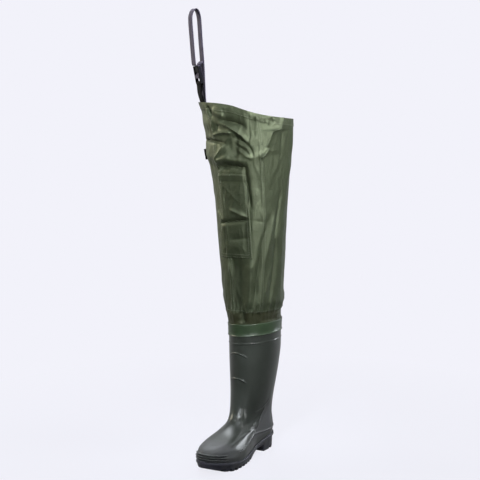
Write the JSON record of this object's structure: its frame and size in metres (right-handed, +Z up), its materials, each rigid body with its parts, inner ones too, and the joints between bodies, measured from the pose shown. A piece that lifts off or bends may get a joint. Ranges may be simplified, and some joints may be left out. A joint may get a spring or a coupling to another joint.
{
  "type": "hip wader",
  "caption": "Hip wader for the right leg: moulded PVC boot with lugged sole, welded to a coated nylon leg with side pocket and adjustable belt strap.",
  "frame": {"origin": "on the floor under the heel, below the axis of the boot's shaft", "axes": "+Z up, the toe points along -Y, the outer side of the foot is -X"},
  "size_m": [0.2209, 0.3299, 1.0453],
  "materials": {
    "sole_pvc": "satin",
    "boot_pvc": "gloss",
    "insole_felt": "matte",
    "joint_tape": "satin",
    "coated_nylon": "satin",
    "grey_webbing": "matte",
    "black_webbing": "matte",
    "buckle_plastic": "gloss"
  },
  "bodies": {
    "root": {"outsole": "sole_pvc", "boot_upper": "boot_pvc", "insole": "insole_felt", "joint_band": "joint_tape", "leg": "coated_nylon", "side_pocket": "coated_nylon", "belt_strap": "grey_webbing", "buckle_web": "black_webbing", "strap_buckle": "buckle_plastic", "side_tab": "black_webbing"}
  },
  "joints": []
}
